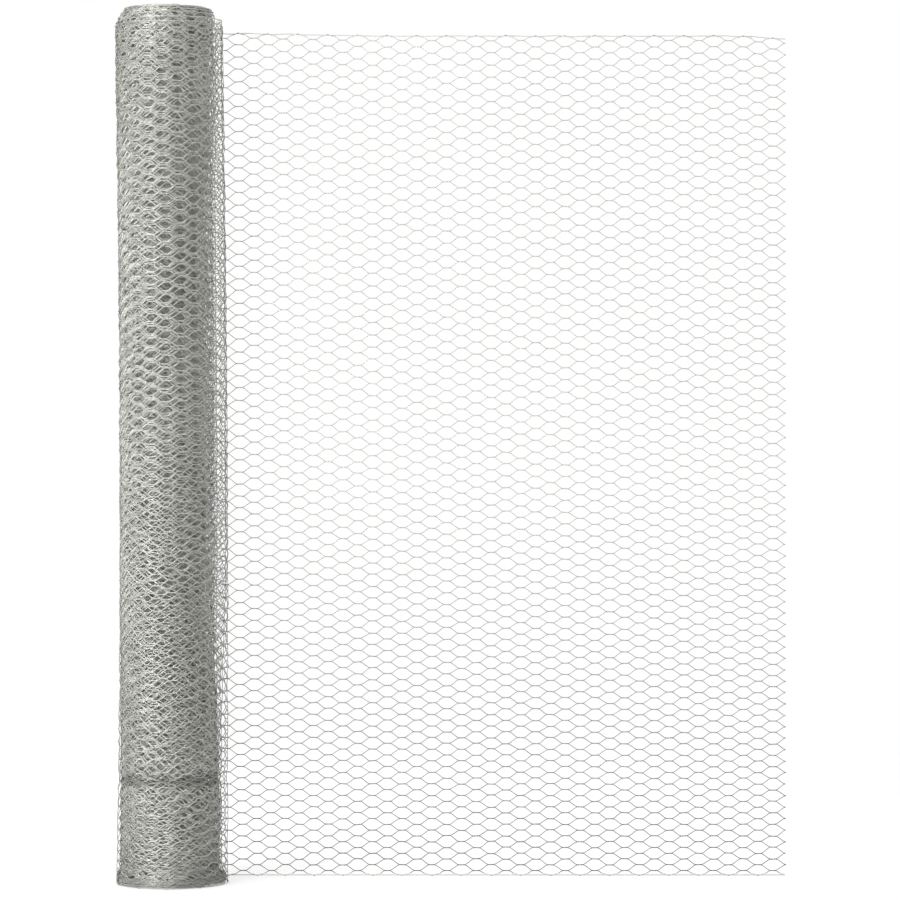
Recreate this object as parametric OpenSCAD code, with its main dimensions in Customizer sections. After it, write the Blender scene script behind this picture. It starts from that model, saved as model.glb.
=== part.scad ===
// Roll of hexagonal wire netting that stands on its end, with a loose leaf of netting pulled off behind it.
// Millimetres. +Z is up along the roll and +X is the way the leaf runs.
// The origin is on the axis of the roll, at the floor.

/* [Netting] */
// Width of the netting, which is the height of the standing roll
width = 1000; // [300:10:1500]
// Diameter of one wire
wire = 0.7; // [0.5:0.05:1.2]
// Distance from one twist to the next in a column
mesh_pitch = 14.2; // [10:0.1:30]
// Distance from one column of twists to the next
column_pitch = 17.5; // [12:0.1:40]

/* [Roll] */
// Outer diameter of the wound roll
roll_diameter = 126; // [90:1:200]
// Diameter of the open bore down the middle
bore_diameter = 44; // [30:1:80]
// Turns of netting in the roll
turns = 34; // [8:1:40]
// How much higher the inner turns reach than the outermost one
telescope = 19; // [0:0.5:60]
// Turns over which the upper end rises from the outermost turn to the inner ones
telescope_turns = 6; // [1:1:8]
// Depth of the groove between one turn and the next, at both ends
groove_depth = 3; // [1:0.5:8]
// Share of a turn's thickness that the groove takes
groove_share = 0.4; // [0.2:0.05:0.6]

/* [Leaf] */
// Length of the loose leaf, from where it leaves the roll to its cut end
leaf_length = 718; // [200:1:1500]

/* [Hidden] */
// Sub-parts, each of which can be built alone
NODES = ["netting_roll", "leaf_band_1", "leaf_band_2", "leaf_band_3", "leaf_band_4",
    "leaf_band_5", "leaf_band_6", "leaf_band_7", "leaf_band_8"];
// Sub-part to build
// Bands of wires that share the leaf, one to a sub-part
leaf_bands = len(NODES) - 1;
// Facets of a round surface
$fn = 96;

roll_radius = roll_diameter / 2;
bore_radius = bore_diameter / 2;
turn_pitch = (roll_radius - bore_radius) / turns;

// Two wires twisted together, which is also the thickness of the leaf
pair = 2 * wire;
// Whole meshes that fit the width and the leaf
mesh_rows = floor(width / mesh_pitch);
leaf_columns = floor(leaf_length / column_pitch);
// Share of a pitch by which every second column is set higher
stagger_share = 1 / 2;
// Height of the lowest twists, as far from the lower edge as the highest are from the upper one
first_row = (width - (mesh_rows - stagger_share) * mesh_pitch) / 2;

// An opening is bounded by two bows, one below and one above.
// They leave a pair of wires at the twist and one wire halfway to the next column.
opening_rise = mesh_pitch / 2 - wire;
bow_sag = opening_rise - mesh_pitch / 4;
bow_radius = (pow(column_pitch / 2, 2) + pow(bow_sag, 2) - pow(wire / 2, 2)) / (wire + 2 * bow_sag);

// Row of meshes at which a band ends
function last_row(band) = round(band * mesh_rows / leaf_bands);

// Height at which a band ends, which parts the two wires of each twist in its row
function band_top(band) =
    band == 0 ? 0 :
    band == leaf_bands ? width :
    first_row + last_row(band) * mesh_pitch;

// Outer radius of a turn, counted from the bore
function turn_radius(turn) = bore_radius + turn * turn_pitch;

// Height that a turn reaches
function turn_top(turn) = width + telescope * min(1, (turns - turn) / telescope_turns);

// Upper end of the roll in half section, from the outside inwards
function upper_end() = [
    for (turn = [turns : -1 : 1])
        for (edge = [turn, turn - 1])
            [turn_radius(edge), turn_top(turn)]
];

// Half section of the roll, with a groove at both ends between each turn and the next
module roll_section() {
    difference() {
        polygon(concat([[bore_radius, 0], [roll_radius, 0]], upper_end()));
        for (turn = [1 : turns - 1])
            translate([turn_radius(turn - groove_share / 2), 0]) {
                square([groove_share * turn_pitch, groove_depth]);
                translate([0, turn_top(turn + 1) - groove_depth])
                    square([groove_share * turn_pitch, turn_top(turn) - turn_top(turn + 1) + groove_depth]);
            }
    }
}

// Wound turns with the bore through them
module netting_roll() {
    color("silver")
        rotate_extrude()
            roll_section();
}

// One opening of the mesh
module opening() {
    intersection_for (side = [-1, 1])
        translate([0, side * (bow_radius - opening_rise)])
            circle(r = bow_radius);
}

// All openings that reach into a band
module openings(band) {
    for (column = [0 : leaf_columns])
        for (row = [last_row(band - 1) - 1 : last_row(band)])
            translate([
                column * column_pitch,
                first_row + (row + stagger_share + (column % 2) * stagger_share) * mesh_pitch
            ])
                opening();
}

// Straight wires along both edges of the netting
module edge_wires() {
    for (height = [0, width - pair])
        translate([0, height])
            square([leaf_columns * column_pitch, pair]);
}

// One band of the leaf: its wires run the whole length and are fused where they twist together
module leaf_band(band) {
    color("gainsboro")
        translate([0, roll_radius + pair, 0])
            rotate([90, 0, 0])
                linear_extrude(height = pair)
                    difference() {
                        translate([0, band_top(band - 1)])
                            square([leaf_columns * column_pitch, band_top(band) - band_top(band - 1)]);
                        difference() {
                            openings(band);
                            edge_wires();
                        }
                    }
}

netting_roll();
leaf_band(1);  // leaf_band_1
leaf_band(2);  // leaf_band_2
leaf_band(3);  // leaf_band_3
leaf_band(4);  // leaf_band_4
leaf_band(5);  // leaf_band_5
leaf_band(6);  // leaf_band_6
leaf_band(7);  // leaf_band_7
leaf_band(8);  // leaf_band_8
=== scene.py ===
import math

import bpy
import numpy as np
from bpy.props import FloatProperty, FloatVectorProperty, IntProperty, PointerProperty
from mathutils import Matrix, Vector


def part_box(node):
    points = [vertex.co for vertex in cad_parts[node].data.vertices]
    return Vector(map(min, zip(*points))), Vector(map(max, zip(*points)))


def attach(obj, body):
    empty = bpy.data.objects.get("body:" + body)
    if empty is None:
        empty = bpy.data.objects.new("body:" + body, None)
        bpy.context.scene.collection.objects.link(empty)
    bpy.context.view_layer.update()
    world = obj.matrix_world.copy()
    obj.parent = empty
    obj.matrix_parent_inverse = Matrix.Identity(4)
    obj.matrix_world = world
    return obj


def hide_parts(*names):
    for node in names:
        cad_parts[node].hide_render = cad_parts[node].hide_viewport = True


bl_info = {
    "name": "Roll of Hexagonal Netting",
    "version": (1, 0, 0),
    "blender": (4, 5, 0),
    "location": "3D View > Sidebar > Netting",
    "description": "Makes a standing roll of galvanised netting with a loose leaf, wire by wire",
    "category": "Add Mesh",
}

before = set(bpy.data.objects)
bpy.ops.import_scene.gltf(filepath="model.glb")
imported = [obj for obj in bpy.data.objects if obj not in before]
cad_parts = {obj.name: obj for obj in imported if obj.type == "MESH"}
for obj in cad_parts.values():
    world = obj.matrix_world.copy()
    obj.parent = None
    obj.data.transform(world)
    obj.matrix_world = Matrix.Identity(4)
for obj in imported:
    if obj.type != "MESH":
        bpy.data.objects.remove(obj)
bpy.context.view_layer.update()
ROLL_NODE = "netting_roll"
ROLL_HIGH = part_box(ROLL_NODE)[1]
LEAF_NODES = sorted(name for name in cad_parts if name.startswith("leaf_band"))
LEAF_LOW = Vector(np.min([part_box(name)[0] for name in LEAF_NODES], axis=0))
LEAF_HIGH = Vector(np.max([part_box(name)[1] for name in LEAF_NODES], axis=0))

MM = 0.001


class NettingSizes(bpy.types.PropertyGroup):
    """Sizes of the netting, the roll and the leaf"""

    width: FloatProperty(
        name="Width", description="Width of the netting, which is the height of the roll",
        default=LEAF_HIGH.z, unit="LENGTH")
    wire: FloatProperty(
        name="Wire", description="Diameter of one wire with its coat of zinc",
        default=0.8 * MM, unit="LENGTH")
    edge_wire: FloatProperty(
        name="Edge wire", description="Diameter of the straight wire along both edges",
        default=0.9 * MM, unit="LENGTH")
    mesh_pitch: FloatProperty(
        name="Mesh pitch", description="Distance from one twist to the next in a column",
        default=14.2 * MM, unit="LENGTH")
    column_pitch: FloatProperty(
        name="Column pitch", description="Distance from one column of twists to the next",
        default=17.5 * MM, unit="LENGTH")
    twist: FloatProperty(
        name="Twist", description="Length over which two wires are twisted together",
        default=9.3 * MM, unit="LENGTH")
    first_column: FloatProperty(
        name="First column", description="Distance of the first column from where the leaf leaves the roll",
        default=4.6 * MM, unit="LENGTH")
    leaf_stretch: FloatProperty(
        name="Leaf stretch", description="How much wider than on the roll the columns stand on the leaf",
        default=0.0048)
    leaf_columns: IntProperty(
        name="Leaf columns", description="Columns of twists on the leaf", default=41)
    leaf_plane: FloatProperty(
        name="Leaf plane", description="Distance of the leaf behind the axis of the roll",
        default=(LEAF_LOW.y + LEAF_HIGH.y) / 2, unit="LENGTH")
    roll_radius: FloatProperty(
        name="Roll radius", description="Radius of the outermost turn", default=ROLL_HIGH.x, unit="LENGTH")
    bore_radius: FloatProperty(
        name="Bore radius", description="Radius of the open bore", default=22 * MM, unit="LENGTH")
    turns: IntProperty(name="Turns", description="Turns of netting in the roll", default=34)
    telescope: FloatProperty(
        name="Telescope", description="How far the inner turns stand above the outermost one",
        default=ROLL_HIGH.z - LEAF_HIGH.z, unit="LENGTH")
    loose_turns: IntProperty(
        name="Loose turns", description="Outer turns that stand off the wound core", default=10)
    core_radius: FloatProperty(
        name="Core radius", description="Radius of the wound core at the foot",
        default=56 * MM, unit="LENGTH")
    slack: FloatProperty(
        name="Slack", description="How much smaller the core is at half height than at the foot",
        default=7 * MM, unit="LENGTH")
    bow: FloatProperty(
        name="Bow", description="How far the rows hang at half height", default=9.5 * MM, unit="LENGTH")
    far_bow: FloatProperty(
        name="Far bow", description="How much further the rows hang at the cut end",
        default=10 * MM, unit="LENGTH")


class NettingFinish(bpy.types.PropertyGroup):
    """Colours and roughness of the galvanised wire, and the colour of its painted shade"""

    zinc: FloatVectorProperty(
        name="Zinc", description="Colour of the bright zinc", subtype="COLOR",
        default=(0.57, 0.575, 0.54), min=0, max=1)
    dull_zinc: FloatVectorProperty(
        name="Dull zinc", description="Colour of the weathered zinc", subtype="COLOR",
        default=(0.445, 0.45, 0.42), min=0, max=1)
    bloom: FloatVectorProperty(
        name="Bloom", description="Colour of the pale bloom in patches", subtype="COLOR",
        default=(0.67, 0.67, 0.635), min=0, max=1)
    # Painted shade: a near black mixed into the zinc in the waist and at the foot of the roll and on the
    # lower leaf, for the shade there
    painted_shade: FloatVectorProperty(
        name="Painted shade", description="Colour of the darkened zinc near the floor and in the waist",
        subtype="COLOR", default=(0.085, 0.085, 0.079), min=0, max=1)
    roughness: FloatProperty(
        name="Roughness", description="Usual roughness of the zinc", subtype="FACTOR",
        default=0.48, min=0, max=1)


class NettingStage(bpy.types.PropertyGroup):
    """Floor and studio light"""

    floor: FloatVectorProperty(
        name="Floor", description="Colour of the floor", subtype="COLOR",
        default=(0.3, 0.3, 0.3), min=0, max=1)
    key: FloatProperty(
        name="Key light", description="Power of the soft light at the front left", default=262, unit="POWER")
    top: FloatProperty(
        name="Top light", description="Power of the soft light overhead", default=8, unit="POWER")


# Shape of the netting

# Share of a pitch by which every second column is set higher
STAGGER = 0.5
# Sine waves that make up one unevenness, and how many of the longest and of the shortest fit a swell
WAVES, LONGEST, SHORTEST = 5, 0.55, 1.5
# Lengths of the swells along and up, in metres, and the seed of each unevenness
MESH_ALONG = ((0.05, 0.03), 11)
MESH_UP = ((0.04, 0.04), 12)
TURNS_ROUND = ((0.12, 0.3), 21)
TURNS_UP = ((0.12, 0.3), 22)
TURNS_DENTED = ((0.06, 0.05), 31)
LEAF_WAVY = ((0.35, 0.5), 41)


def smooth(x, start, end):
    """Rises from 0 at start to 1 at end."""
    t = np.clip((x - start) / (end - start), 0, 1)
    return t * t * (3 - 2 * t)


def wander(along, up, spans, seed):
    """Smooth unevenness between about -1 and 1, with swells of about these lengths along and up."""
    rng = np.random.default_rng(seed)
    total = np.zeros(np.broadcast(along, up).shape)
    for _ in range(WAVES):
        a, b = rng.uniform(LONGEST, SHORTEST, 2) / spans * rng.choice((-1, 1), 2)
        total += np.sin(2 * math.pi * (a * along + b * up + rng.uniform()))
    return total / (WAVES / 2)


def first_row(size):
    """Height of the lowest twists, and how many a column has."""
    rows = math.floor(size.width / size.mesh_pitch)
    return (size.width - (rows - STAGGER) * size.mesh_pitch) / 2, rows


def column_at(size, column):
    """Distance of a column along the netting."""
    column = np.asarray(column, float)
    return size.first_column + column * size.column_pitch * (1 + size.leaf_stretch * (column > 0))


# Turns of the roll
# They are counted from the back, where the leaf leaves the roll, inwards.

# Share of a turn from the back of the roll to its front
FRONT = 0.5
# Columns from the end of the outermost turn to the front of each outer turn.
# All are odd, so that the columns of these turns stand one behind the other there.
FRONT_COLUMNS = (11, 33, 55, 75, 95, 115, 135, 153, 171, 189)
# Turns at which the place of the loose netting is given.
# It is a share of the way from the core to the outermost turn, here above and at the foot.
LOOSE_AT = (0.0, 0.75, 1.25, 1.75, 2.25, 2.75, 3.75, 5.75, 7.75, 10.0)
LOOSE_ABOVE = (1.0, 0.99, 0.97, 0.93, 0.7, 0.52, 0.4, 0.25, 0.12, 0.0)
LOOSE_AT_FOOT = (1.0, 0.95, 0.4, 0.4, 0.2, 0.18, 0.14, 0.09, 0.05, 0.0)
# How much the lower edges of the loose turns spread out on the floor, from 0 to 1
FOOT_SPREAD = 0.85
# Shares of its play by which the core leans to the left, further left where it is drawn in, and forward
CORE_LEFT, CORE_LEFT_DRAWN, CORE_FORWARD = 0.3, 0.53, 0.58
# Share of the slack that the core gets back at its upper end
CORE_EASED = 0.35
# Turn outside which the core leans fully, and inwards from which it comes back to the axis
LEANING_TURN = 14

# Height of the narrow waist of the roll, its depth, and how far it reaches up and down, in metres
WAIST, WAIST_DEPTH, WAIST_REACH = 0.123, 1.5 * MM, 0.007
# Where rows are drawn together: height, share of the gap taken up, and reach
DRAWN_ROWS = ((WAIST, 0.42, 0.014), (0.212, 0.3, 0.010))
# What stands above the outermost turn is drawn in: by how much, from what height, and over what rise
DOME, DOME_FROM, DOME_RISE = 4.5 * MM, 0.99, 0.029
# Turn outside which it is fully drawn in
DOME_TURN = 20
# Turn from which the inner turns stand higher than the outermost one, and turns over which they rise
RISE_FROM, RISE_TURNS = 0.75, 5

# Ratios that set the turns against each other without a pattern
SHIFT_RATIO, CLIMB_RATIO = 0.4142, 0.618
# Slip of the turns round the roll and up, in steps from turn to turn and in swells.
# Each is given in millimetres where the turns lie in register, with what they wander apart by.
STEPS_ROUND, SWELLS_ROUND = (3.2, 3.2), (1.8, 1.4)
STEPS_UP, SWELLS_UP = (3.2, 3.6), (1.6, 1.4)
# Share of the full wandering that the inner turns have at any height
APART_INSIDE = 0.8
# How far the lower edges of the turns stand apart on the floor
FLOOR_STEP = 4.5 * MM
# Dents of the turns, in and out
DENTS = 0.55 * MM


def drawn_in(height):
    """How far the wound core is drawn in at a share of the height, as a share of its slack."""
    return smooth(height, 0.05, 0.36) * (1 - CORE_EASED * smooth(height, 0.75, 0.97))


def core_pitch(size, height):
    """Thickness of one turn of the wound core at a share of the height."""
    core = size.core_radius - size.slack * drawn_in(height)
    return (core - size.bore_radius) / (size.turns - size.loose_turns)


def core_winding(size):
    """Turn at which the even winding of the core starts, its radius there and its pitch, at half height."""
    start = len(FRONT_COLUMNS) - FRONT
    pitch = core_pitch(size, 0.5)
    return start, size.bore_radius + (size.turns - start) * pitch, pitch


def turn_at(size, back):
    """Number of turns from the outermost end, for a distance back along the wound netting."""
    fronts = np.array((0, *FRONT_COLUMNS)) * size.column_pitch
    turns = np.array((0, *(whole - FRONT for whole in range(1, len(fronts)))))
    start, outer, pitch = core_winding(size)
    inside = np.clip(back - fronts[-1], 0, None)
    root = np.sqrt(np.clip(outer ** 2 - pitch * inside / math.pi, size.bore_radius ** 2, None))
    return np.where(back < fronts[-1], np.interp(back, fronts, turns), start + (outer - root) / pitch)


def roll_columns(size):
    """How many columns the wound netting has."""
    _, outer, pitch = core_winding(size)
    inside = math.pi * (outer ** 2 - size.bore_radius ** 2) / pitch
    return FRONT_COLUMNS[-1] + int(inside / size.column_pitch)


def turn_step(turn, ratio):
    """Steps between -1 and 1 that are steady over the front of each turn and change at its back."""
    near = np.round(turn)
    before, after = (2 * (whole * ratio % 1) - 1 for whole in (near - 1, near))
    return before + (after - before) * smooth(turn - near, -0.2, 0.2)


def outermost_turn(size, h):
    """Radius of the outermost turn at a share of the height, and how far to the right its middle stands."""
    # it is widest at the foot
    rim = size.roll_radius + (0.6 - 1.9 * h + h ** 2 + 1.2 * smooth(h, 0.3, 0.02)) * MM
    # it bows to the right below half height and leans to the left at the top
    lean = (0.9 + 11 * h - 15 * h ** 2) * MM
    return rim, lean


def slipped(amounts, apart):
    """Amount of a slip, for the share by which the turns wander apart."""
    in_register, more = amounts
    return (in_register + more * apart) * MM


def turn_slip(size, turn, back, up, h):
    """How far each turn is shifted round the roll and lifted against its neighbours."""
    # turns lie nearly in register, and wander apart towards the foot and inwards
    apart = np.maximum(smooth(h, 0.54, 0.37), APART_INSIDE * smooth(turn, 3.5, 7.0))
    shift = slipped(STEPS_ROUND, apart) * turn_step(turn, SHIFT_RATIO)
    shift = shift + slipped(SWELLS_ROUND, apart) * wander(back, up, *TURNS_ROUND)
    climb = slipped(STEPS_UP, apart) * turn_step(turn, CLIMB_RATIO)
    climb = climb + slipped(SWELLS_UP, apart) * wander(back, up, *TURNS_UP)
    begun = smooth(turn, 0.0, 0.15)
    climb = climb * smooth(h, 1.0, 0.95) * begun
    # at the floor the outermost turn reaches lowest
    floor = FLOOR_STEP * (1 + turn_step(turn, CLIMB_RATIO)) * smooth(turn, 0.4, 1.2)
    climb = floor + (climb - floor) * smooth(h, 0.0, 0.06)
    # the netting is stretched by up to a row on the inner turns, which reach higher
    row = size.mesh_pitch * smooth(turn, 1.75, 2.25)
    lift = size.telescope * (1 - (1 - np.clip((turn - RISE_FROM) / RISE_TURNS, 0, 1)) ** 2)
    climb = climb + row * smooth(h, 0.05, 0.4) + (lift - row) * smooth(h, 0.87, 1.0)
    # rows are drawn together in a narrow waist, and a little in a second one
    lifted = up + climb
    for height, draw, reach in DRAWN_ROWS:
        gap = lifted - height
        climb = climb - draw * gap * np.exp(-(gap / reach) ** 2)
    return shift * begun, climb


def on_the_roll(size, turn, back, up, out, h, pull):
    """Points of the wound netting."""
    shift, climb = turn_slip(size, turn, back, up, h)
    shift = shift + pull * smooth(turn, 0.25, 0.0)
    z = up + climb
    rim, lean = outermost_turn(size, h)
    pitch = core_pitch(size, h)
    wound = size.turns - size.loose_turns
    core = size.bore_radius + pitch * wound
    # the core leans against the loose turns at the left and at the front
    play = rim - core
    core_x = lean - play * (CORE_LEFT + CORE_LEFT_DRAWN * drawn_in(h))
    core_y = -CORE_FORWARD * play
    loose = np.interp(turn, LOOSE_AT, LOOSE_AT_FOOT)
    loose = loose + (np.interp(turn, LOOSE_AT, LOOSE_ABOVE) - loose) * smooth(h, 0.08, 0.4)
    # the lower edges of the loose turns spread out on the floor
    loose = loose ** (1 - FOOT_SPREAD * smooth(h, 0.016, 0.004))
    inner = size.bore_radius + pitch * np.clip(size.turns - turn, 0, wound)
    radius = np.where(turn < size.loose_turns, core + play * loose, inner)
    radius = radius + DENTS * wander(back, up, *TURNS_DENTED) * smooth(turn, 0.0, 0.3)
    waist = WAIST_DEPTH * np.exp(-((z - WAIST) / WAIST_REACH) ** 2)
    dome = DOME * np.clip((z - DOME_FROM) / DOME_RISE, 0, 1) ** 2 * smooth(turn, size.turns, DOME_TURN)
    radius = radius - waist * smooth(turn, 7.0, 0.5) - dome + out
    # the innermost turns stay round the axis
    held = smooth(turn, size.turns, LEANING_TURN)
    centre_x = (core_x + (lean - core_x) * loose + dome) * held
    centre_y = core_y * (1 - loose) * held
    # columns of the outer turns stand one behind the other, although the core leans
    shift = shift + (centre_x - lean) * smooth(turn, 12.0, 9.5)
    angle = 2 * math.pi * turn - shift / radius
    return np.stack([centre_x - radius * np.sin(angle), centre_y + radius * np.cos(angle), z], axis=-1)


# Leaf, and the netting as a whole

# Small unevenness of the mesh along and up
STRAY_ALONG, STRAY_UP = 0.45 * MM, 0.35 * MM
# Gap between the lower edge and the floor
FLOOR_GAP = 0.1 * MM
# How far the upper edge droops where the leaf leaves the roll, and again at the cut end
DROOP = 3 * MM
# How much further out of the roll the foot of the leaf is pulled
FOOT_PULL = 5 * MM
# Length over which the leaf comes from the round of the roll into its plane, in metres
LEAF_EASE = 0.07
# How far the leaf waves out of its plane
LEAF_WAVE = 0.8 * MM


def on_the_leaf(size, ahead, along, up, out, h, pull):
    """Points of the loose leaf."""
    rim, lean = outermost_turn(size, h)
    fade = np.exp(-ahead / LEAF_EASE)
    x = along + pull + lean * fade
    y = size.leaf_plane + (rim - size.leaf_plane) * fade + out
    y = y + LEAF_WAVE * wander(ahead, up, *LEAF_WAVY) * (1 - fade)
    return np.stack([x, y, up], axis=-1)


def place(size, along, up, out):
    """Points of the flat netting (along, up and out of it) where they are on the leaf and on the roll."""
    back = np.clip(-along, 0, None)
    ahead = np.clip(along, 0, None)
    far = np.clip(ahead / LEAF_HIGH.x, 0, 1)
    h = np.clip(up / size.width, 0, 1)
    on_roll = along < 0
    turn = turn_at(size, back)

    # unevenness of the mesh itself
    along = along + STRAY_ALONG * wander(along, up, *MESH_ALONG)
    up = up + STRAY_UP * wander(along, up, *MESH_UP) * smooth(h, 0.0, 0.02) + FLOOR_GAP * (1 - h)
    # rows hang lowest at half height, and most at the cut end
    up = up - size.bow * 4 * h * (1 - h) - size.far_bow * far * np.sin(math.pi * h) ** 3
    # the upper edge droops along the leaf
    up = up - DROOP * (smooth(far, 0.05, 0.4) + smooth(far, 0.93, 1.0)) * h ** 6
    # the foot of the leaf is pulled out near the roll
    pull = FOOT_PULL * smooth(far, 0.28, 0.06) * smooth(h, 0.22, 0.0)

    roll = on_the_roll(size, turn, back, up, out, h, pull)
    leaf = on_the_leaf(size, ahead, along, up, out, h, pull)
    return np.where(on_roll[..., None], roll, leaf)


# Wires of the flat netting, as middle lines

# Turns that two wires make round each other in a twist
TWIST_TURNS = 1.5
# Share of its length to which an eased twist is shortened.
# Its wires bend this share of a twist past its full length, and this share of a mesh pitch up or down.
EASED_TWIST, BEND_ALONG, BEND_UP = 0.84, 1 / 10, 1 / 13
# Bends of a twist at the cut end, and points of its wires that are left there
STUB_BENDS, STUB_POINTS = 5, 4
# Share of a twist by which the edge wires end before the last column
EDGE_CUT = 0.3


def twisted_wire(size, bends, eased=False):
    """One wire of a twist, from the middle of its lower slant to the middle of its upper one."""
    half = size.twist / 2
    u = np.linspace(-half, half, bends + 1)
    turned = 2 * math.pi * TWIST_TURNS * u / size.twist
    line = np.stack([u, -size.wire / 2 * np.sin(turned), size.wire / 2 * np.cos(turned)], axis=1)
    if bends == 1:
        # straight wires cross one in front of the other
        line[:, 2] = size.wire / 4
    start = [[-size.column_pitch / 2, -size.mesh_pitch / 4, 0]]
    end = [[size.column_pitch / 2, size.mesh_pitch / 4, 0]]
    if eased:
        # the wire leaves a shorter twist in a soft bend
        line[:, 0] *= EASED_TWIST
        bend = np.array([half + size.twist * BEND_ALONG, size.mesh_pitch * BEND_UP, 0])
        start, end = np.concatenate([start, [-bend]]), np.concatenate([[bend], end])
    return np.concatenate([start, line, end])


def spots(size, columns, rows):
    """Middle of every twist in these columns and rows."""
    low, _ = first_row(size)
    c, k = np.meshgrid(columns, rows, indexing="ij")
    up = low + (k + STAGGER * (c % 2)) * size.mesh_pitch
    return np.stack([column_at(size, c), up, np.zeros_like(up)], axis=-1).reshape(-1, 1, 3)


def both_wires(middle, line):
    """A wire and the one that is twisted with it, round each of these middles."""
    return np.concatenate([middle + line, middle + line * (1, -1, -1)])


def twists(size, columns, rows, bends, eased=False):
    """Both wires of every twist in these columns and rows."""
    return both_wires(spots(size, columns, rows), twisted_wire(size, bends, eased))


def stubs(size, column, rows):
    """Wires of the last column, cut off just inside their twists."""
    line = twisted_wire(size, STUB_BENDS, eased=True)[:STUB_POINTS]
    return both_wires(spots(size, [column], rows), line)


def bars(size, columns, rows):
    """Every twist as one short bar."""
    half = size.twist / 2
    return spots(size, columns, rows) + np.array([[-half, 0, 0], [half, 0, 0]])


def slants(size, columns, rows):
    """The two slanting wires at the right of every twist."""
    half, run = size.twist / 2, size.column_pitch - size.twist / 2
    rise = size.mesh_pitch / 2
    middle = spots(size, columns, rows)
    return np.concatenate([middle + np.array([[half, 0, 0], [run, side * rise, 0]]) for side in (-1, 1)])


def edge_height(size):
    """Height of the lower edge wire's middle."""
    return size.wire + size.edge_wire / 2


def edge_loops(size, columns, bends):
    """Outermost wires, which turn round the edge wire at every second column."""
    columns = np.asarray(columns)
    low, rows = first_row(size)
    half = size.twist / 2
    u = np.linspace(-half, half, bends + 1)
    turned = 2 * math.pi * u / size.twist
    reach = (size.wire + size.edge_wire) / 2
    groups = []
    for odd, side in ((1, 1), (0, -1)):
        chosen = columns[columns % 2 == odd]
        edge = edge_height(size) if side > 0 else size.width - edge_height(size)
        base = low - size.mesh_pitch / 2 if side > 0 else low + rows * size.mesh_pitch
        line = np.stack([u, edge - side * reach * np.cos(turned), reach * np.sin(turned)], axis=1)
        end = base + side * size.mesh_pitch / 4
        line = np.concatenate([
            [[-size.column_pitch / 2, end, 0]], line, [[size.column_pitch / 2, end, 0]]])
        start = np.zeros((len(chosen), 1, 3))
        start[:, 0, 0] = column_at(size, chosen)
        groups.append(start + line)
    return np.concatenate(groups)


def edge_wires(size, columns, steps):
    """Straight wires along both edges, a column at a time."""
    columns = np.asarray(columns)
    ends = np.stack([column_at(size, columns), column_at(size, columns + 1)], axis=1)
    share = np.linspace(0, 1, steps + 1)
    cut = column_at(size, size.leaf_columns) - EDGE_CUT * size.twist
    along = np.minimum(ends[:, :1] + (ends[:, 1:] - ends[:, :1]) * share, cut)
    groups = []
    for edge in (edge_height(size), size.width - edge_height(size)):
        groups.append(np.stack([along, np.full_like(along, edge), np.zeros_like(along)], axis=-1))
    return np.concatenate(groups)


# Meshes

# Sides of a wire in section: a flat strip, a round wire, and a round wire that is seen by itself
STRIP, ROUND, FINE_ROUND = 2, 3, 4
# A ring of few sides is set out by this much, so that it looks as wide as the round wire
SET_OUT = {ROUND: 1.2, FINE_ROUND: 1.1}
# Share of a side by which a ring is turned
RING_TURNED = 0.25
# Fields of the spread wires: across for each one down, and the share left free round each
FIELDS_ACROSS, FIELD_MARGIN = 0.5, 0.04
# Length below which a wire has no direction
NO_LENGTH = 1e-9


def wire_rings(centre, diameter, sides):
    """Rings of points round wires that are given by their middle lines."""
    run = np.gradient(centre, axis=1)
    run = run / np.maximum(np.linalg.norm(run[..., :2], axis=-1, keepdims=True), NO_LENGTH)
    across = np.stack([-run[..., 1], run[..., 0], np.zeros_like(run[..., 0])], axis=-1)
    away = np.array([0.0, 0.0, 1.0])
    if sides == STRIP:
        tilt = (across + away) / math.sqrt(2) * diameter / 2
        return np.stack([centre - tilt, centre + tilt], axis=2)
    reach = diameter / 2 * SET_OUT[sides]
    turned = 2 * math.pi * (np.arange(sides) + RING_TURNED) / sides
    return np.stack([centre + reach * (math.cos(a) * across + math.sin(a) * away) for a in turned], axis=2)


def wire_mesh(name, points, corners, spread):
    """Smooth mesh of four-cornered faces, with its flat spread."""
    mesh = bpy.data.meshes.new(name)
    mesh.vertices.add(len(points))
    mesh.vertices.foreach_set("co", points.astype(np.float32).ravel())
    mesh.loops.add(corners.size)
    mesh.loops.foreach_set("vertex_index", corners.astype(np.int32).ravel())
    mesh.polygons.add(len(corners))
    mesh.polygons.foreach_set("loop_start", np.arange(0, corners.size, 4, dtype=np.int32))
    mesh.update(calc_edges=True)
    mesh.shade_smooth()
    mesh.uv_layers.new(name="OFBake").uv.foreach_set("vector", spread.astype(np.float32).ravel())
    return mesh


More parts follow.
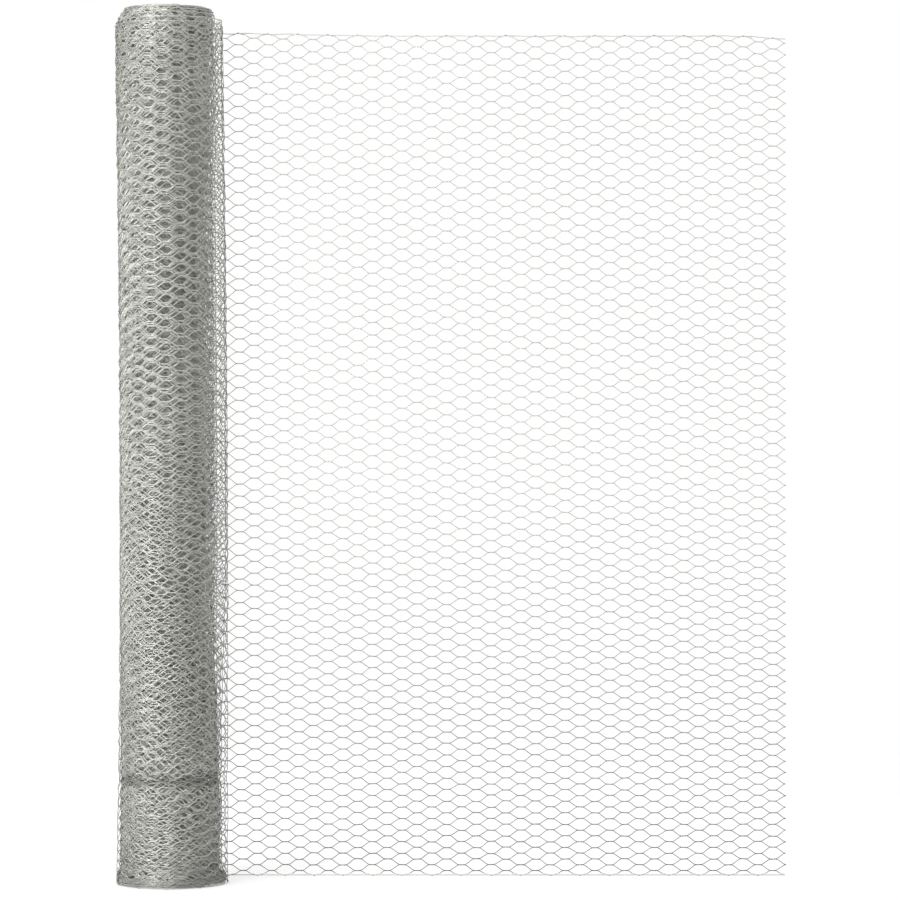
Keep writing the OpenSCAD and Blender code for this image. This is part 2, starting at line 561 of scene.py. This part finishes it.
def make_piece(size, name, groups, finish, nodes):
    """Joins groups of wires, given as middle lines, diameter and sides, into one mesh piece."""
    points, corners, spreads = [], [], []
    wires = sum(len(lines) for lines, _, _ in groups)
    across = math.ceil(math.sqrt(wires * FIELDS_ACROSS))
    down = math.ceil(wires / across)
    filled = 1 - 2 * FIELD_MARGIN
    used, begun = 0, 0
    for lines, diameter, sides in groups:
        rings = wire_rings(lines, diameter, sides)
        count, long, wide, _ = rings.shape
        points.append(place(size, rings[..., 0], rings[..., 1], rings[..., 2]).reshape(-1, 3))
        faces_wide = 1 if sides == STRIP else sides
        n, m, k = np.meshgrid(np.arange(count), np.arange(long - 1), np.arange(faces_wide), indexing="ij")
        next_k = (k + 1) % wide
        base = used + n * long * wide
        quad = np.stack([base + m * wide + k, base + (m + 1) * wide + k,
                         base + (m + 1) * wide + next_k, base + m * wide + next_k], axis=-1)
        corners.append(quad.reshape(-1, 4))
        # each wire is spread flat in a field of its own
        field = begun + n
        left, low = field % across, field // across
        u = np.stack([m, m + 1, m + 1, m], axis=-1) / (long - 1)
        v = np.stack([k, k, k + 1, k + 1], axis=-1) / faces_wide
        spread = np.stack([(left[..., None] + FIELD_MARGIN + filled * u) / across,
                           (low[..., None] + FIELD_MARGIN + filled * v) / down], axis=-1)
        spreads.append(spread.reshape(-1, 2))
        used += count * long * wide
        begun += count
    mesh = wire_mesh(name, np.concatenate(points), np.concatenate(corners), np.concatenate(spreads))
    mesh.materials.append(finish)
    piece = bpy.data.objects.new(name, mesh)
    bpy.context.scene.collection.objects.link(piece)
    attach(piece, "root")
    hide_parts(*nodes)


# Finish

# Brightness of the zinc for each part. Deeper turns are painted lighter, as painted fill light in the shade
# inside the roll, and the outer turns a little darker, which damps their highlights.
TONES_WITH_PAINTED_FILL = {"outer": 0.87, "middle": 1.06, "inner": 1.34, "leaf": 0.87, "edge": 0.85}
# Swells to the metre: bright and dull stretches, slow drift, patches of bloom, roughness and frosting
STRETCHES, DRIFT, PATCHES, ROUGH_SPOTS, FROSTING = 140, 9, 420, 260, 2200
# Share of the slow drift in the colour
DRIFT_SHARE = 0.35
METALLIC = 0.9
# How much smoother and rougher than usual the zinc is in places
SMOOTHER, ROUGHER = 0.1, 0.14
# Strength of the frosting, and its depth
FROST_STRENGTH, FROST_DEPTH = 0.25, 0.05 * MM
# Most painted shade on the roll, half the height of its band of painted shade in the waist, and heights over
# which the painted shadow at its foot ends
ROLL_PAINTED_SHADE, PAINTED_SHADE_BAND, PAINTED_SHADE_FOOT = 0.32, 0.006, (0.005, 0.035)
# Height at which the painted shade on the leaf ends; it is darkest at the floor
LEAF_PAINTED_SHADE_TOP = 0.48


def feed(tree, value, socket):
    """Joins an output to an input, or sets the input to a value."""
    if isinstance(value, bpy.types.NodeSocket):
        tree.links.new(value, socket)
    else:
        socket.default_value = value


def noise(tree, where, scale, detail, rough=0.5):
    """Cloudy pattern with so many swells to the metre."""
    node = tree.nodes.new("ShaderNodeTexNoise")
    node.inputs["Scale"].default_value = scale
    node.inputs["Detail"].default_value = detail
    node.inputs["Roughness"].default_value = rough
    feed(tree, where, node.inputs["Vector"])
    return node.outputs["Fac"]


def ramp(tree, source, low, high, start=0.0, end=1.0, clamp=True):
    """Value that goes from start to end as the source goes from low to high."""
    node = tree.nodes.new("ShaderNodeMapRange")
    node.clamp = clamp
    for name, value in (("From Min", low), ("From Max", high), ("To Min", start), ("To Max", end)):
        node.inputs[name].default_value = value
    feed(tree, source, node.inputs["Value"])
    return node.outputs["Result"]


def blend(tree, share, first, second):
    """Mixes a share of the second colour into the first."""
    node = tree.nodes.new("ShaderNodeMix")
    node.data_type = "RGBA"
    feed(tree, share, node.inputs["Factor"])
    feed(tree, first, node.inputs["A"])
    feed(tree, second, node.inputs["B"])
    return node.outputs["Result"]


def either(tree, first, second):
    """The larger of two values."""
    node = tree.nodes.new("ShaderNodeMath")
    node.operation = "MAXIMUM"
    feed(tree, first, node.inputs[0])
    feed(tree, second, node.inputs[1])
    return node.outputs["Value"]


def toned(colour, tone=1.0):
    """Colour at this brightness, opaque."""
    return (*(c * tone for c in colour), 1)


def roll_painted_shade(tree, height):
    """Share of painted shade in a narrow band round the waist of the roll and at its foot: the shade of the
    waist and the contact shadow at the floor, painted into the colour.
    """
    away = tree.nodes.new("ShaderNodeMath")
    away.operation = "ABSOLUTE"
    offset = ramp(tree, height, WAIST - PAINTED_SHADE_BAND, WAIST + PAINTED_SHADE_BAND, -1.0, 1.0, clamp=False)
    feed(tree, offset, away.inputs[0])
    band = ramp(tree, away.outputs["Value"], 0.2, 1.7, ROLL_PAINTED_SHADE, 0.0)
    return either(tree, band, ramp(tree, height, *PAINTED_SHADE_FOOT, ROLL_PAINTED_SHADE, 0.0))


def leaf_painted_shade(tree, height):
    """Share of painted shade that grows from half height to the floor, which paints the lower leaf darker.
    """
    return ramp(tree, height, 0.0, LEAF_PAINTED_SHADE_TOP, 1.0, 0.0)


def galvanised_wire(part, painted_shade=None):
    """Zinc on drawn wire: dull and bright stretches, pale bloom, painted shade where given and a finely
    frosted skin; deeper turns get a lighter tone as painted fill light.
    """
    name = f"galvanised_{part}_wire"
    made = bpy.data.materials.get(name)
    if made:
        return made
    finish = bpy.context.scene.netting_finish
    made = bpy.data.materials.new(name)
    made.use_nodes = True
    tree = made.node_tree
    shader = tree.nodes["Principled BSDF"]
    where = tree.nodes.new("ShaderNodeTexCoord").outputs["Object"]
    stretches = ramp(tree, noise(tree, where, STRETCHES, 3), 0.35, 0.65)
    drift = ramp(tree, noise(tree, where, DRIFT, 2), 0.3, 0.7)
    patches = ramp(tree, noise(tree, where, PATCHES, 4, 0.65), 0.60, 0.72)
    # the tone per part paints fill light: deeper turns lighter, the outer turns a little darker to damp
    # their highlights
    zinc = toned(finish.zinc, TONES_WITH_PAINTED_FILL[part])
    dull = toned(finish.dull_zinc, TONES_WITH_PAINTED_FILL[part])
    between = [(a + b) / 2 for a, b in zip(zinc, dull)]
    colour = blend(tree, DRIFT_SHARE, blend(tree, stretches, dull, zinc), blend(tree, drift, between, zinc))
    colour = blend(tree, patches, colour, toned(finish.bloom, TONES_WITH_PAINTED_FILL[part]))
    # painted shade: a near black mixed into the colour where the given share says
    if painted_shade:
        parts = tree.nodes.new("ShaderNodeSeparateXYZ")
        feed(tree, where, parts.inputs["Vector"])
        colour = blend(tree, painted_shade(tree, parts.outputs["Z"]), colour, toned(finish.painted_shade))
    feed(tree, colour, shader.inputs["Base Color"])
    shader.inputs["Metallic"].default_value = METALLIC
    smoothest, roughest = finish.roughness - SMOOTHER, finish.roughness + ROUGHER
    rough = ramp(tree, noise(tree, where, ROUGH_SPOTS, 4), 0.3, 0.7, smoothest, roughest)
    feed(tree, rough, shader.inputs["Roughness"])
    bump = tree.nodes.new("ShaderNodeBump")
    bump.inputs["Strength"].default_value = FROST_STRENGTH
    bump.inputs["Distance"].default_value = FROST_DEPTH
    feed(tree, noise(tree, where, FROSTING, 3), bump.inputs["Height"])
    feed(tree, bump.outputs["Normal"], shader.inputs["Normal"])
    return made


# Pieces

# Columns back to which the twists are made with several bends, and with one
OUTER_COLUMNS, MIDDLE_COLUMNS = 44, 125
# Bends of a twist that shows and of one that lies deeper
SHOWN_BENDS, DEEP_BENDS = 4, 1
# Innermost columns, which show in the bore
BORE_COLUMNS = 9
# Rows of the core that show at its lower and its upper end
LOWER_ROWS, UPPER_ROWS = 1, 3
# Width of the strips deep in the core, in wires: for a twist and for a slanting wire
DEEP_TWIST, DEEP_SLANT = 2, 1.2
# Steps of the edge wires and bends of their loops, on the leaf and on the roll
LEAF_EDGE_STEPS, LEAF_LOOP_BENDS = 4, 6
ROLL_EDGE_STEPS, ROLL_LOOP_BENDS = 3, 4
# Points that are left of the loops at the cut end
LOOP_STUB_POINTS = 3


def halves(size):
    """Rows of the lower and the upper half of the netting."""
    _, rows = first_row(size)
    return (("lower", np.arange(rows // 2)), ("upper", np.arange(rows // 2, rows)))


class NETTING_OT_leaf(bpy.types.Operator):
    """Make the loose leaf of netting behind the roll"""

    bl_idname = "netting.leaf"
    bl_label = "Leaf"

    def execute(self, context):
        size = context.scene.netting_sizes
        middle = len(LEAF_NODES) // 2
        nodes = {"lower": LEAF_NODES[:middle], "upper": LEAF_NODES[middle:]}
        columns = np.arange(1, size.leaf_columns)
        finish = galvanised_wire("leaf", leaf_painted_shade)
        for half, rows in halves(size):
            groups = [(twists(size, columns, rows, SHOWN_BENDS, eased=True), size.wire, ROUND),
                      (stubs(size, size.leaf_columns, rows), size.wire, ROUND)]
            make_piece(size, f"leaf_{half}_wires", groups, finish, nodes[half])
        return {"FINISHED"}


class NETTING_OT_outer_turns(bpy.types.Operator):
    """Make the outer turns of the roll, where the twists show"""

    bl_idname = "netting.outer_turns"
    bl_label = "Outer Turns"

    def execute(self, context):
        size = context.scene.netting_sizes
        columns = np.arange(-OUTER_COLUMNS, 1)
        finish = galvanised_wire("outer", roll_painted_shade)
        for half, rows in halves(size):
            groups = [(twists(size, columns, rows, SHOWN_BENDS), size.wire, ROUND)]
            make_piece(size, f"outer_turns_{half}", groups, finish, [ROLL_NODE])
        return {"FINISHED"}


class NETTING_OT_middle_turns(bpy.types.Operator):
    """Make the turns that show between the wires of the outer ones"""

    bl_idname = "netting.middle_turns"
    bl_label = "Middle Turns"

    def execute(self, context):
        size = context.scene.netting_sizes
        columns = np.arange(-MIDDLE_COLUMNS, -OUTER_COLUMNS)
        finish = galvanised_wire("middle", roll_painted_shade)
        for half, rows in halves(size):
            groups = [(twists(size, columns, rows, DEEP_BENDS), size.wire, ROUND)]
            make_piece(size, f"middle_turns_{half}", groups, finish, [ROLL_NODE])
        return {"FINISHED"}


class NETTING_OT_inner_turns(bpy.types.Operator):
    """Make the wound core, with round wires at its ends and in the bore"""

    bl_idname = "netting.inner_turns"
    bl_label = "Inner Turns"

    def execute(self, context):
        size = context.scene.netting_sizes
        last = -roll_columns(size)
        bore = np.arange(last, last + BORE_COLUMNS)
        columns = np.arange(last + BORE_COLUMNS, -MIDDLE_COLUMNS)
        finish = galvanised_wire("inner", roll_painted_shade)
        for half, rows in halves(size):
            if half == "lower":
                end, deep = rows[:LOWER_ROWS], rows[LOWER_ROWS:]
            else:
                end, deep = rows[-UPPER_ROWS:], rows[:-UPPER_ROWS]
            groups = [(twists(size, columns, end, DEEP_BENDS), size.wire, ROUND),
                      (twists(size, bore, rows, DEEP_BENDS), size.wire, ROUND),
                      (bars(size, columns, deep), DEEP_TWIST * size.wire, STRIP),
                      (slants(size, columns, deep), DEEP_SLANT * size.wire, STRIP)]
            make_piece(size, f"inner_turns_{half}", groups, finish, [ROLL_NODE])
        return {"FINISHED"}


class NETTING_OT_edges(bpy.types.Operator):
    """Make the straight wires along both edges and the loops that hold them"""

    bl_idname = "netting.edges"
    bl_label = "Edges"

    def execute(self, context):
        size = context.scene.netting_sizes
        leaf = np.arange(1, size.leaf_columns)
        cut_loops = edge_loops(size, [size.leaf_columns], LEAF_LOOP_BENDS)[:, :LOOP_STUB_POINTS]
        groups = [(edge_wires(size, leaf, LEAF_EDGE_STEPS), size.edge_wire, FINE_ROUND),
                  (edge_loops(size, leaf, LEAF_LOOP_BENDS), size.wire, ROUND),
                  (cut_loops, size.wire, ROUND)]
        nodes = [LEAF_NODES[0], LEAF_NODES[-1]]
        make_piece(size, "leaf_edges", groups, galvanised_wire("edge"), nodes)
        roll = np.arange(-roll_columns(size), 1)
        groups = [(edge_wires(size, roll, ROLL_EDGE_STEPS), size.edge_wire, ROUND),
                  (edge_loops(size, roll, ROLL_LOOP_BENDS), size.wire, ROUND)]
        finish = galvanised_wire("outer", roll_painted_shade)
        make_piece(size, "roll_edges", groups, finish, [ROLL_NODE])
        return {"FINISHED"}


# Stage, in metres

WHITE = (1, 1, 1, 1)
# Corners of the floor
FLOOR_CORNERS = ((-2.2, -2.5, 0), (2.8, -2.5, 0), (2.8, 1.8, 0), (-2.2, 1.8, 0))
# Brightness of the darkest grain of the floor, swells of the grain to the metre, and glow of the floor
FLOOR_SHADE, FLOOR_GRAIN, FLOOR_GLOW = 0.985, 30, 0.64
# Soft lights: place, point that they face, width and height
KEY_LIGHT = ((-2.05, -3.2, 1.2), (0, 0, 0.5), 3.0, 2.4)
TOP_LIGHT = ((0.3, 0.2, 2.8), (0.2, 0, 0), 2.0, 2.0)
# Place of the camera, which looks straight back, and its sensor and lens in millimetres
CAMERA_AT, SENSOR, LENS = (0.325, -4.0, 0.505), 36, 137.1
# Distance up to which the camera sees
SIGHT = 100


def soft_light(name, power, at, aim, width, height):
    """Large lamp that faces a point."""
    lamp = bpy.data.lights.new(name, "AREA")
    lamp.shape = "RECTANGLE"
    lamp.size, lamp.size_y, lamp.energy = width, height, power
    light = bpy.data.objects.new(name, lamp)
    light.location = at
    light.rotation_euler = (Vector(aim) - Vector(at)).to_track_quat("-Z", "Y").to_euler()
    bpy.context.scene.collection.objects.link(light)


def white_world():
    """White room all round."""
    world = bpy.data.worlds.new("studio")
    bpy.context.scene.world = world
    world.use_nodes = True
    background = world.node_tree.nodes["Background"]
    background.inputs["Color"].default_value = WHITE
    background.inputs["Strength"].default_value = 1.0


def pale_floor(colour):
    """Floor that the camera sees as white except in the object's shadow."""
    made = bpy.data.materials.new("pale_floor")
    made.use_nodes = True
    tree = made.node_tree
    shader = tree.nodes["Principled BSDF"]
    where = tree.nodes.new("ShaderNodeTexCoord").outputs["Object"]
    grain = ramp(tree, noise(tree, where, FLOOR_GRAIN, 3), 0.3, 0.7)
    feed(tree, blend(tree, grain, toned(colour, FLOOR_SHADE), toned(colour)), shader.inputs["Base Color"])
    shader.inputs["Roughness"].default_value = 0.8
    shader.inputs["Specular IOR Level"].default_value = 0.1
    shader.inputs["Emission Color"].default_value = WHITE
    rays = tree.nodes.new("ShaderNodeLightPath")
    seen = rays.outputs["Is Camera Ray"]
    for name in ("Is Glossy Ray", "Is Transmission Ray"):
        seen = either(tree, seen, rays.outputs[name])
    feed(tree, ramp(tree, seen, 0, 1, 0.0, FLOOR_GLOW), shader.inputs["Emission Strength"])
    return made


class NETTING_OT_stage(bpy.types.Operator):
    """Make the floor, the studio light and the camera"""

    bl_idname = "netting.stage"
    bl_label = "Stage"

    def execute(self, context):
        scene = context.scene
        stage = scene.netting_stage
        mesh = bpy.data.meshes.new("floor")
        mesh.from_pydata(FLOOR_CORNERS, [], [range(len(FLOOR_CORNERS))])
        mesh.materials.append(pale_floor(stage.floor))
        floor = bpy.data.objects.new("floor", mesh)
        scene.collection.objects.link(floor)

        soft_light("key_light", stage.key, *KEY_LIGHT)
        soft_light("top_light", stage.top, *TOP_LIGHT)
        white_world()
        scene.view_settings.view_transform = "Standard"

        lens = bpy.data.cameras.new("camera")
        lens.sensor_width = SENSOR
        lens.lens = LENS
        lens.clip_end = SIGHT
        camera = bpy.data.objects.new("camera", lens)
        camera.location = CAMERA_AT
        camera.rotation_euler = (math.pi / 2, 0, 0)
        scene.collection.objects.link(camera)
        scene.camera = camera
        return {"FINISHED"}


OPERATORS = (NETTING_OT_leaf, NETTING_OT_outer_turns, NETTING_OT_middle_turns, NETTING_OT_inner_turns,
             NETTING_OT_edges, NETTING_OT_stage)
GROUPS = {"netting_sizes": NettingSizes, "netting_finish": NettingFinish, "netting_stage": NettingStage}


class NETTING_PT_panel(bpy.types.Panel):
    """Sizes, finish and pieces of the roll"""

    bl_idname = "NETTING_PT_panel"
    bl_label = "Roll of Netting"
    bl_space_type = "VIEW_3D"
    bl_region_type = "UI"
    bl_category = "Netting"

    def draw(self, context):
        for group_name, group in GROUPS.items():
            box = self.layout.box()
            for name in group.__annotations__:
                box.prop(getattr(context.scene, group_name), name)
        for operator in OPERATORS:
            self.layout.operator(operator.bl_idname)


def register():
    """Adds the classes and the scene's groups of properties."""
    for made in (*GROUPS.values(), *OPERATORS, NETTING_PT_panel):
        bpy.utils.register_class(made)
    for name, group in GROUPS.items():
        setattr(bpy.types.Scene, name, PointerProperty(type=group))


def unregister():
    """Takes away what register adds."""
    for name in GROUPS:
        delattr(bpy.types.Scene, name)
    for made in (NETTING_PT_panel, *reversed(OPERATORS), *reversed(list(GROUPS.values()))):
        bpy.utils.unregister_class(made)


def main():
    """Makes every piece and the stage."""
    register()
    bpy.ops.netting.leaf()
    bpy.ops.netting.outer_turns()
    bpy.ops.netting.middle_turns()
    bpy.ops.netting.inner_turns()
    bpy.ops.netting.edges()
    bpy.ops.netting.stage()


if __name__ == "__main__":
    main()
